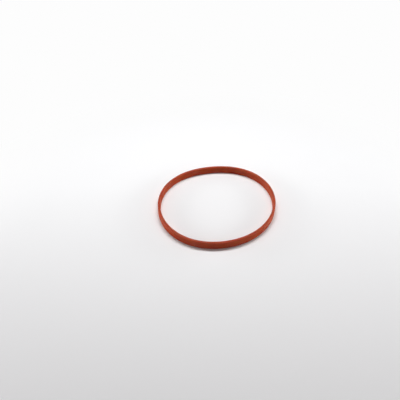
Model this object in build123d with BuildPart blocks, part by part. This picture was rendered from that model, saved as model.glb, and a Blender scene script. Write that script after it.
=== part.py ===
"""Intake manifold gasket: a moulded silicone-rubber ring with a tall rectangular section.

The ring is pressed on edge into a groove in the manifold flange, and its two flat
faces seal against the groove's floor and the cylinder head. Lying free, the thin
wall relaxes a little out of round, so its plan is a circle with a slight oval, a
slight egg shape and a trace of four lobes.

Millimetres and degrees. The origin is the middle of the ring on the lower sealing
face, +Z is the ring's axis and +X is the long way across the oval.
"""

import os
from math import cos, radians, sin

from build123d import *

# Section of the rubber wall
WALL_WIDTH = 1.75
HEIGHT = 5.6
EDGE_RADIUS = 0.3

# Plan of the wall's centre line: its mean radius, how far each wave stands out from it,
# and the angle from +X at which the wave is highest
OUTER_DIAMETER = 80.0
MEAN_RADIUS = (OUTER_DIAMETER - WALL_WIDTH) / 2
OVAL_RISE = 1.85
EGG_RISE = 0.4
EGG_TURN = 10.0
LOBE_RISE = 0.25
LOBE_TURN = 29.5

# The waves are not even, so this shift brings the middle of the ring's box onto the origin
SHIFT_X = -0.36
SHIFT_Y = 0.17

PLAN_POINTS = 36


def wall_point(turn, stand_out):
    """The point at this angle from +X that stands out this far from the wall's centre line."""
    oval = OVAL_RISE * cos(radians(2 * turn))
    egg = EGG_RISE * cos(radians(3 * (turn - EGG_TURN)))
    lobe = LOBE_RISE * cos(radians(4 * (turn - LOBE_TURN)))
    radius = MEAN_RADIUS + oval + egg + lobe + stand_out
    return radius * cos(radians(turn)) + SHIFT_X, radius * sin(radians(turn)) + SHIFT_Y


def wall_points(stand_out):
    """The points of one smooth closed curve round the ring, this far from the centre line."""
    return [wall_point(360 * i / PLAN_POINTS, stand_out) for i in range(PLAN_POINTS)]


with BuildPart() as gasket_ring:
    # Plan: the outer wall's curve filled, less the port inside the inner wall's curve
    with BuildSketch() as ring_plan:
        with BuildLine() as outer_wall:
            Spline(*wall_points(WALL_WIDTH / 2), periodic=True)
        make_face()
        with BuildLine() as inner_wall:
            Spline(*wall_points(-WALL_WIDTH / 2), periodic=True)
        make_face(mode=Mode.SUBTRACT)
    extrude(amount=HEIGHT)

    # Moulded edges: small rounds where each flat sealing face meets the two walls
    fillet(gasket_ring.faces().filter_by(Axis.Z).edges(), radius=EDGE_RADIUS)

gasket_ring.part.label = "gasket_ring"

os.makedirs("parts", exist_ok=True)
export_step(gasket_ring.part, "parts/gasket_ring.step")
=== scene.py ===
from math import cos, radians, sin

import bpy
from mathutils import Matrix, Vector


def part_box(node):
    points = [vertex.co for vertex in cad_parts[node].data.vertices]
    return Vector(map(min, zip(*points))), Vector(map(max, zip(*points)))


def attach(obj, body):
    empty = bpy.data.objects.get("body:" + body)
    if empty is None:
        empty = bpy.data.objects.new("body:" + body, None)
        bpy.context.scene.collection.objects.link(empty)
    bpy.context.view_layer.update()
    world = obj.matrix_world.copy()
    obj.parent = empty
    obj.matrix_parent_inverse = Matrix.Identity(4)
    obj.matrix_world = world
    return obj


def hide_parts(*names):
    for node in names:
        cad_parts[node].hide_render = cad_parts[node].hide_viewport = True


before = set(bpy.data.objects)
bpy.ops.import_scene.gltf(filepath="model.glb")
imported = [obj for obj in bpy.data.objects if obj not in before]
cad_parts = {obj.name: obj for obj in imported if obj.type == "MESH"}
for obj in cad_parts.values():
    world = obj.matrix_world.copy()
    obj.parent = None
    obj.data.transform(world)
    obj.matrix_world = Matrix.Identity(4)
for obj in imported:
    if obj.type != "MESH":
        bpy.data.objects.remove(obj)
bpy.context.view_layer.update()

MM = 0.001


# The moulded ring
# One strip of iron-oxide red silicone rubber, compression moulded in one closed piece with a
# thin witness line where the mould's halves met. Nothing fixes it: it lies free on its flat face.

ring_low, ring_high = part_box("gasket_ring")
RING_HEIGHT = ring_high.z - ring_low.z
WALL_WIDTH = 1.75 * MM
MEAN_RADIUS = 40.0 * MM - WALL_WIDTH / 2
UNEVENNESS_RUN = 14 * MM  # the length along the ring of one swell of its walls

RING_SIZES = {
    "Mean Radius": MEAN_RADIUS,
    "Oval Rise": 1.85 * MM,
    "Oval Turn": 0.0,
    "Egg Rise": 0.4 * MM,
    "Egg Turn": radians(10.0),
    "Lobe Rise": 0.25 * MM,
    "Lobe Turn": radians(29.5),
    "Middle": (-0.36 * MM, 0.17 * MM, RING_HEIGHT / 2),
    "Wall Width": WALL_WIDTH,
    "Height": RING_HEIGHT,
    "Edge Radius": 0.3 * MM,
    "Witness Line Height": 0.07 * MM,
    "Witness Line Width": 0.32 * MM,
    "Wall Unevenness": 0.05 * MM,
    "Steps Round": 480,
    "Steps Across": 120,
    "Edge Steps": 8,
}


def add_node(tree, kind, inputs=None, **settings):
    """Adds a node with its settings; each input takes a value or the output it is linked from."""
    node = tree.nodes.new(kind)
    for name, value in settings.items():
        setattr(node, name, value)
    for key, value in (inputs or {}).items():
        if isinstance(value, bpy.types.NodeSocket):
            tree.links.new(value, node.inputs[key])
        else:
            node.inputs[key].default_value = value
    return node


ring_tree = bpy.data.node_groups.new("moulded_ring", "GeometryNodeTree")
ring_tree.interface.new_socket("Geometry", in_out="OUTPUT", socket_type="NodeSocketGeometry")
for name, value in RING_SIZES.items():
    kind = {float: "NodeSocketFloat", int: "NodeSocketInt", tuple: "NodeSocketVector"}[type(value)]
    ring_tree.interface.new_socket(name, in_out="INPUT", socket_type=kind)
ring_tree.interface.new_socket("Rubber", in_out="INPUT", socket_type="NodeSocketMaterial")
size = add_node(ring_tree, "NodeGroupInput").outputs

# Plan of the centre line: a unit circle whose points move out by the mean radius and three waves
unit_circle = add_node(
    ring_tree, "GeometryNodeCurvePrimitiveCircle", {"Resolution": size["Steps Round"], "Radius": 1.0}
)
unit_place = add_node(ring_tree, "GeometryNodeInputPosition").outputs[0]
unit_xyz = add_node(ring_tree, "ShaderNodeSeparateXYZ", {0: unit_place}).outputs
turn = add_node(
    ring_tree, "ShaderNodeMath", {0: unit_xyz["Y"], 1: unit_xyz["X"]}, operation="ARCTAN2"
).outputs[0]
radius = size["Mean Radius"]
for wave, crests in (("Oval", 2.0), ("Egg", 3.0), ("Lobe", 4.0)):
    past_crest = add_node(
        ring_tree, "ShaderNodeMath", {0: turn, 1: size[wave + " Turn"]}, operation="SUBTRACT"
    )
    phase = add_node(
        ring_tree, "ShaderNodeMath", {0: past_crest.outputs[0], 1: crests}, operation="MULTIPLY"
    )
    swing = add_node(ring_tree, "ShaderNodeMath", {0: phase.outputs[0]}, operation="COSINE")
    radius = add_node(
        ring_tree,
        "ShaderNodeMath",
        {0: swing.outputs[0], 1: size[wave + " Rise"], 2: radius},
        operation="MULTIPLY_ADD",
    ).outputs[0]
plan_place = add_node(
    ring_tree, "ShaderNodeVectorMath", {0: unit_place, "Scale": radius}, operation="SCALE"
)
centre_place = add_node(
    ring_tree, "ShaderNodeVectorMath", {0: plan_place.outputs[0], 1: size["Middle"]}, operation="ADD"
)
marked_circle = add_node(
    ring_tree,
    "GeometryNodeStoreNamedAttribute",
    {"Geometry": unit_circle.outputs["Curve"], "Name": "round_ring", "Value": unit_place},
    data_type="FLOAT_VECTOR",
    domain="POINT",
)
centre_line = add_node(
    ring_tree,
    "GeometryNodeSetPosition",
    {"Geometry": marked_circle.outputs[0], "Position": centre_place.outputs[0]},
)
upright_line = add_node(
    ring_tree, "GeometryNodeSetCurveNormal", {"Curve": centre_line.outputs[0]}, mode="Z_UP"
)

# Section of the wall: a rectangle with rounded edges, in even steps, with the witness line raised
# on both walls at mid-height
section_box = add_node(
    ring_tree,
    "GeometryNodeCurvePrimitiveQuadrilateral",
    {"Width": size["Wall Width"], "Height": size["Height"]},
    mode="RECTANGLE",
)
section_rounded = add_node(
    ring_tree,
    "GeometryNodeFilletCurve",
    {
        "Curve": section_box.outputs[0],
        "Count": size["Edge Steps"],
        "Radius": size["Edge Radius"],
    },
    mode="POLY",
)
section_stepped = add_node(
    ring_tree,
    "GeometryNodeResampleCurve",
    {"Curve": section_rounded.outputs[0], "Count": size["Steps Across"]},
    mode="COUNT",
)
section_place = add_node(ring_tree, "GeometryNodeInputPosition").outputs[0]
section_marked = add_node(
    ring_tree,
    "GeometryNodeStoreNamedAttribute",
    {"Geometry": section_stepped.outputs[0], "Name": "across_wall", "Value": section_place},
    data_type="FLOAT_VECTOR",
    domain="POINT",
)
section_xyz = add_node(ring_tree, "ShaderNodeSeparateXYZ", {0: section_place}).outputs
from_middle = add_node(ring_tree, "ShaderNodeMath", {0: section_xyz["Y"]}, operation="ABSOLUTE")
witness_half = add_node(
    ring_tree, "ShaderNodeMath", {0: size["Witness Line Width"], 1: 0.5}, operation="MULTIPLY"
)
witness_rise = add_node(
    ring_tree,
    "ShaderNodeMapRange",
    {
        "Value": from_middle.outputs[0],
        "From Min": 0.0,
        "From Max": witness_half.outputs[0],
        "To Min": size["Witness Line Height"],
        "To Max": 0.0,
    },
    interpolation_type="SMOOTHSTEP",
)
wall_side = add_node(ring_tree, "ShaderNodeMath", {0: section_xyz["X"]}, operation="SIGN")
wall_out = add_node(
    ring_tree,
    "ShaderNodeMath",
    {0: wall_side.outputs[0], 1: witness_rise.outputs[0]},
    operation="MULTIPLY",
)
wall_offset = add_node(ring_tree, "ShaderNodeCombineXYZ", {"X": wall_out.outputs[0]})
wall_section = add_node(
    ring_tree,
    "GeometryNodeSetPosition",
    {"Geometry": section_marked.outputs[0], "Offset": wall_offset.outputs[0]},
)

# The section carried round the centre line, then moved sideways by the slight unevenness that a
# soft moulding has; both faces stay flat
swept_ring = add_node(
    ring_tree,
    "GeometryNodeCurveToMesh",
    {"Curve": upright_line.outputs[0], "Profile Curve": wall_section.outputs[0], "Fill Caps": False},
)
swell = add_node(
    ring_tree,
    "ShaderNodeTexNoise",
    {"Scale": 1 / UNEVENNESS_RUN, "Detail": 1.5, "Roughness": 0.4},
    noise_dimensions="3D",
)
swell_out = add_node(
    ring_tree,
    "ShaderNodeMapRange",
    {
        "Value": swell.outputs[0],
        "From Min": 0.3,
        "From Max": 0.7,
        "To Min": 0.0,
        "To Max": size["Wall Unevenness"],
    },
)
wall_normal = add_node(ring_tree, "GeometryNodeInputNormal").outputs[0]
sideways = add_node(
    ring_tree, "ShaderNodeVectorMath", {0: wall_normal, 1: (-1.0, -1.0, 0.0)}, operation="MULTIPLY"
)
swell_offset = add_node(
    ring_tree,
    "ShaderNodeVectorMath",
    {0: sideways.outputs[0], "Scale": swell_out.outputs[0]},
    operation="SCALE",
)
soft_ring = add_node(
    ring_tree,
    "GeometryNodeSetPosition",
    {"Geometry": swept_ring.outputs[0], "Offset": swell_offset.outputs[0]},
)
smooth_ring = add_node(
    ring_tree, "GeometryNodeSetShadeSmooth", {"Geometry": soft_ring.outputs[0], "Shade Smooth": True}
)
real_ring = add_node(ring_tree, "GeometryNodeRealizeInstances", {"Geometry": smooth_ring.outputs[0]})
rubber_ring = add_node(
    ring_tree,
    "GeometryNodeSetMaterial",
    {"Geometry": real_ring.outputs[0], "Material": size["Rubber"]},
)
add_node(ring_tree, "NodeGroupOutput", {"Geometry": rubber_ring.outputs[0]})


def linear(hex_colour):
    """An sRGB hex colour as the linear red, green, blue and alpha that a shader takes."""
    shares = [int(hex_colour[i : i + 2], 16) / 255 for i in (1, 3, 5)]
    return [s / 12.92 if s <= 0.04045 else ((s + 0.055) / 1.055) ** 2.4 for s in shares] + [1.0]


# Silicone rubber coloured with iron oxide, compression moulded in a turned steel mould: a satin
# skin that light passes a little way into, faint rings left by the mould, and uneven colour
RUBBER_RED = "#A83F18"
RUBBER_DEEP = "#983511"
MARK_PITCH = 0.16  # mm; the real marks are about 0.05 mm apart, drawn coarser so that they show
MARK_RUN = 22.0  # mm, how far a mark runs before it fades
MOTTLE = 7.0  # mm, the size of the paler and deeper patches
SATIN_RANGE = (0.60, 0.70)  # roughness along the mould marks
SILICONE_IOR = 1.41
LIGHT_DEPTH = 1.0 * MM  # how far red light passes into the rubber
LIGHT_SHARES = (1.0, 0.3, 0.15)  # of that depth, for red, green and blue

silicone = bpy.data.materials.new("red_silicone_rubber_moulded")
silicone.use_nodes = True
rubber = silicone.node_tree
rubber.nodes.clear()
round_ring = add_node(rubber, "ShaderNodeAttribute", attribute_name="round_ring").outputs["Vector"]
across_wall = add_node(rubber, "ShaderNodeAttribute", attribute_name="across_wall").outputs["Vector"]
across_xyz = add_node(rubber, "ShaderNodeSeparateXYZ", {0: across_wall}).outputs
round_xyz = add_node(rubber, "ShaderNodeSeparateXYZ", {0: round_ring}).outputs


def ring_noise(run, pitch, detail):
    """Noise round the ring without a seam: run is its length along it and pitch its width, in mm."""
    parts = []
    for output, scale in (
        (round_xyz["X"], MEAN_RADIUS / MM / run),
        (round_xyz["Y"], MEAN_RADIUS / MM / run),
        (across_xyz["X"], 1 / MM / pitch),
        (across_xyz["Y"], 1 / MM / pitch),
    ):
        parts.append(add_node(rubber, "ShaderNodeMath", {0: output, 1: scale}, operation="MULTIPLY"))
    place = add_node(
        rubber,
        "ShaderNodeCombineXYZ",
        {"X": parts[0].outputs[0], "Y": parts[1].outputs[0], "Z": parts[2].outputs[0]},
    )
    return add_node(
        rubber,
        "ShaderNodeTexNoise",
        {"Vector": place.outputs[0], "W": parts[3].outputs[0], "Scale": 1.0, "Detail": detail},
        noise_dimensions="4D",
    ).outputs[0]


mottle = add_node(
    rubber,
    "ShaderNodeMapRange",
    {"Value": ring_noise(MOTTLE, MOTTLE / 2, 3.0), "From Min": 0.3, "From Max": 0.7},
)
mixed_colour = add_node(
    rubber,
    "ShaderNodeMix",
    {0: mottle.outputs[0], 6: linear(RUBBER_DEEP), 7: linear(RUBBER_RED)},
    data_type="RGBA",
)
mould_marks = ring_noise(MARK_RUN, MARK_PITCH, 2.0)
satin = add_node(
    rubber,
    "ShaderNodeMapRange",
    {
        "Value": mould_marks,
        "From Min": 0.3,
        "From Max": 0.7,
        "To Min": SATIN_RANGE[0],
        "To Max": SATIN_RANGE[1],
    },
)
mould_relief = add_node(
    rubber,
    "ShaderNodeBump",
    {"Height": mould_marks, "Strength": 0.25, "Distance": 0.02 * MM},
)
rubber_skin = add_node(
    rubber,
    "ShaderNodeBsdfPrincipled",
    {
        "Base Color": mixed_colour.outputs[2],
        "Roughness": satin.outputs[0],
        "IOR": SILICONE_IOR,
        "Specular IOR Level": 0.25,
        "Subsurface Weight": 1.0,
        "Subsurface Radius": LIGHT_SHARES,
        "Subsurface Scale": LIGHT_DEPTH,
        "Normal": mould_relief.outputs[0],
    },
)
add_node(rubber, "ShaderNodeOutputMaterial", {"Surface": rubber_skin.outputs[0]})

gasket = bpy.data.objects.new("silicone_gasket_ring", bpy.data.meshes.new("silicone_gasket_ring"))
bpy.context.scene.collection.objects.link(gasket)
moulding = gasket.modifiers.new("moulding", "NODES")
moulding.node_group = ring_tree
for socket in ring_tree.interface.items_tree:
    if socket.in_out == "INPUT":
        moulding[socket.identifier] = RING_SIZES.get(socket.name, silicone)
bpy.context.view_layer.update()
depsgraph = bpy.context.evaluated_depsgraph_get()
ring_mesh = bpy.data.meshes.new_from_object(
    gasket.evaluated_get(depsgraph), preserve_all_data_layers=True, depsgraph=depsgraph
)
gasket.modifiers.remove(moulding)
gasket.data = ring_mesh
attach(gasket, "root")
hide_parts("gasket_ring")


# The bench top
# A wide sheet of matt white paper laid flat under the ring and held by its own weight. Its colour is
# painted darker towards the front as painted shade, and it fades into the pale room behind.


def seen_share(tree):
    """One for a ray from the camera, a reflection or a clear body, and none for light on a matt one."""
    rays = add_node(tree, "ShaderNodeLightPath").outputs
    seen = rays["Is Camera Ray"]
    for kind in ("Is Glossy Ray", "Is Transmission Ray"):
        seen = add_node(tree, "ShaderNodeMath", {0: seen, 1: rays[kind]}, operation="MAXIMUM").outputs[0]
    return seen


# Right and away across the bench, for someone looking at the ring from the camera's side
VIEW_TURN = radians(21.25)
right = Vector((cos(VIEW_TURN), -sin(VIEW_TURN), 0))
away = Vector((sin(VIEW_TURN), cos(VIEW_TURN), 0))
# Painted shade: the paper's colour goes from white behind to a darker grey in front, in place of the
# light falling off
PAPER_WHITE = "#F4F4F5"
PAPER_PAINTED_SHADE = "#E7E6E7"
PAPER_FAR = "#FDFDFD"
PAINTED_SHADE_RUN = (-0.14, 0.02)  # metres away from the ring, from the shaded paper to the white
FRONT_POINT = away * -0.06
FADE_RUN = (0.13, 0.22)  # metres from the front point, from the lit paper to the pale far part
REACH = 4.0  # metres from the ring to each edge of the sheet
bench_mesh = bpy.data.meshes.new("bench_paper")
bench_mesh.from_pydata(
    [(-REACH, -REACH, 0), (REACH, -REACH, 0), (REACH, REACH, 0), (-REACH, REACH, 0)], [], [(0, 1, 2, 3)]
)
bench = bpy.data.objects.new("bench_paper", bench_mesh)
bpy.context.scene.collection.objects.link(bench)
paper_material = bpy.data.materials.new("matt_white_paper")
paper_material.use_nodes = True
paper = paper_material.node_tree
paper.nodes.clear()
paper_place = add_node(paper, "ShaderNodeTexCoord").outputs["Object"]
front_share = add_node(
    paper, "ShaderNodeVectorMath", {0: paper_place, 1: away}, operation="DOT_PRODUCT"
)
shade = add_node(
    paper,
    "ShaderNodeMapRange",
    {"Value": front_share.outputs["Value"], "From Min": PAINTED_SHADE_RUN[0], "From Max": PAINTED_SHADE_RUN[1]},
)
# The paper's colour carries painted shade, darker towards the front
paper_colour = add_node(
    paper,
    "ShaderNodeMix",
    {0: shade.outputs[0], 6: linear(PAPER_PAINTED_SHADE), 7: linear(PAPER_WHITE)},
    data_type="RGBA",
)
paper_skin = add_node(
    paper, "ShaderNodeBsdfDiffuse", {"Color": paper_colour.outputs[2], "Roughness": 0.0}
)
# The far part is an even glow where it is seen, and plain paper to the light on the ring
from_front = add_node(
    paper, "ShaderNodeVectorMath", {0: paper_place, 1: FRONT_POINT}, operation="DISTANCE"
)
far = add_node(
    paper,
    "ShaderNodeMapRange",
    {"Value": from_front.outputs["Value"], "From Min": FADE_RUN[0], "From Max": FADE_RUN[1]},
    interpolation_type="SMOOTHSTEP",
)
far_seen = add_node(
    paper, "ShaderNodeMath", {0: far.outputs[0], 1: seen_share(paper)}, operation="MULTIPLY"
)
far_glow = add_node(paper, "ShaderNodeEmission", {"Color": linear(PAPER_FAR), "Strength": 1.0})
paper_mix = add_node(
    paper,
    "ShaderNodeMixShader",
    {0: far_seen.outputs[0], 1: paper_skin.outputs[0], 2: far_glow.outputs[0]},
)
add_node(paper, "ShaderNodeOutputMaterial", {"Surface": paper_mix.outputs[0]})
bench_mesh.materials.append(paper_material)


# The camera
# It stands in front of the ring, turned 21.25 degrees from the ring's short way, and looks
# down at 44 degrees at a point on the bench beside the ring.

VIEW_DOWN = radians(44.0)
VIEW_DISTANCE = 302.0 * MM
RING_RIGHT, RING_AWAY = 11.77 * MM, -6.54 * MM
LENS, FILM_WIDTH = 37.8, 36  # millimetres, as a camera is told them
middle = Vector(RING_SIZES["Middle"])
middle.z = 0
aim = middle - right * RING_RIGHT - away * RING_AWAY
camera_data = bpy.data.cameras.new("camera")
camera_data.sensor_width = FILM_WIDTH
camera_data.lens = LENS
camera_data.clip_start = 0.01
camera_data.clip_end = 50
camera = bpy.data.objects.new("camera", camera_data)
camera.location = aim - away * VIEW_DISTANCE * cos(VIEW_DOWN)
camera.location.z = VIEW_DISTANCE * sin(VIEW_DOWN)
camera.rotation_euler = (aim - camera.location).to_track_quat("-Z", "Y").to_euler()
bpy.context.scene.collection.objects.link(camera)
bpy.context.scene.camera = camera


# The studio light
# Two strip soft boxes above and a little behind the ring, low soft boxes at its sides and
# front corners, and a pale room all round; all hang or stand clear of the bench.


def soft_box(name, where, width, depth, power):
    """A rectangular lamp facing the ring, at a place given right, away and up from it, in metres."""
    lamp = bpy.data.lights.new(name, "AREA")
    lamp.shape = "RECTANGLE"
    lamp.size, lamp.size_y = width, depth
    lamp.energy = power
    box = bpy.data.objects.new(name, lamp)
    box.location = middle + right * where[0] + away * where[1] + Vector((0, 0, where[2]))
    box.rotation_euler = (middle - box.location).to_track_quat("-Z", "Y").to_euler()
    bpy.context.scene.collection.objects.link(box)


soft_box("soft_box_strip", (0, 0.098, 0.38), 0.30, 0.06, 1.17)
soft_box("soft_box_long_strip", (0, 0.098, 0.38), 1.0, 0.06, 0.57)
soft_box("soft_box_left", (-0.5, 0.1, 0.08), 0.3, 0.15, 1.5)
soft_box("soft_box_right", (0.5, 0.1, 0.08), 0.3, 0.15, 1.5)
soft_box("soft_box_front_left", (-0.4, -0.25, 0.12), 0.3, 0.15, 0.35)
soft_box("soft_box_front_right", (0.4, -0.25, 0.12), 0.3, 0.15, 0.4)

# White where it is seen, and only a faint light on matt things
ROOM_LIGHT, ROOM_SEEN = 0.02, 0.98
room = bpy.data.worlds.new("pale_room")
bpy.context.scene.world = room
room.use_nodes = True
room.node_tree.nodes.clear()
room_level = add_node(
    room.node_tree,
    "ShaderNodeMapRange",
    {"Value": seen_share(room.node_tree), "To Min": ROOM_LIGHT, "To Max": ROOM_SEEN},
)
room_white = add_node(
    room.node_tree,
    "ShaderNodeBackground",
    {"Color": linear("#FFFFFF"), "Strength": room_level.outputs[0]},
)
add_node(room.node_tree, "ShaderNodeOutputWorld", {"Surface": room_white.outputs[0]})

bpy.context.scene.view_settings.view_transform = "Standard"
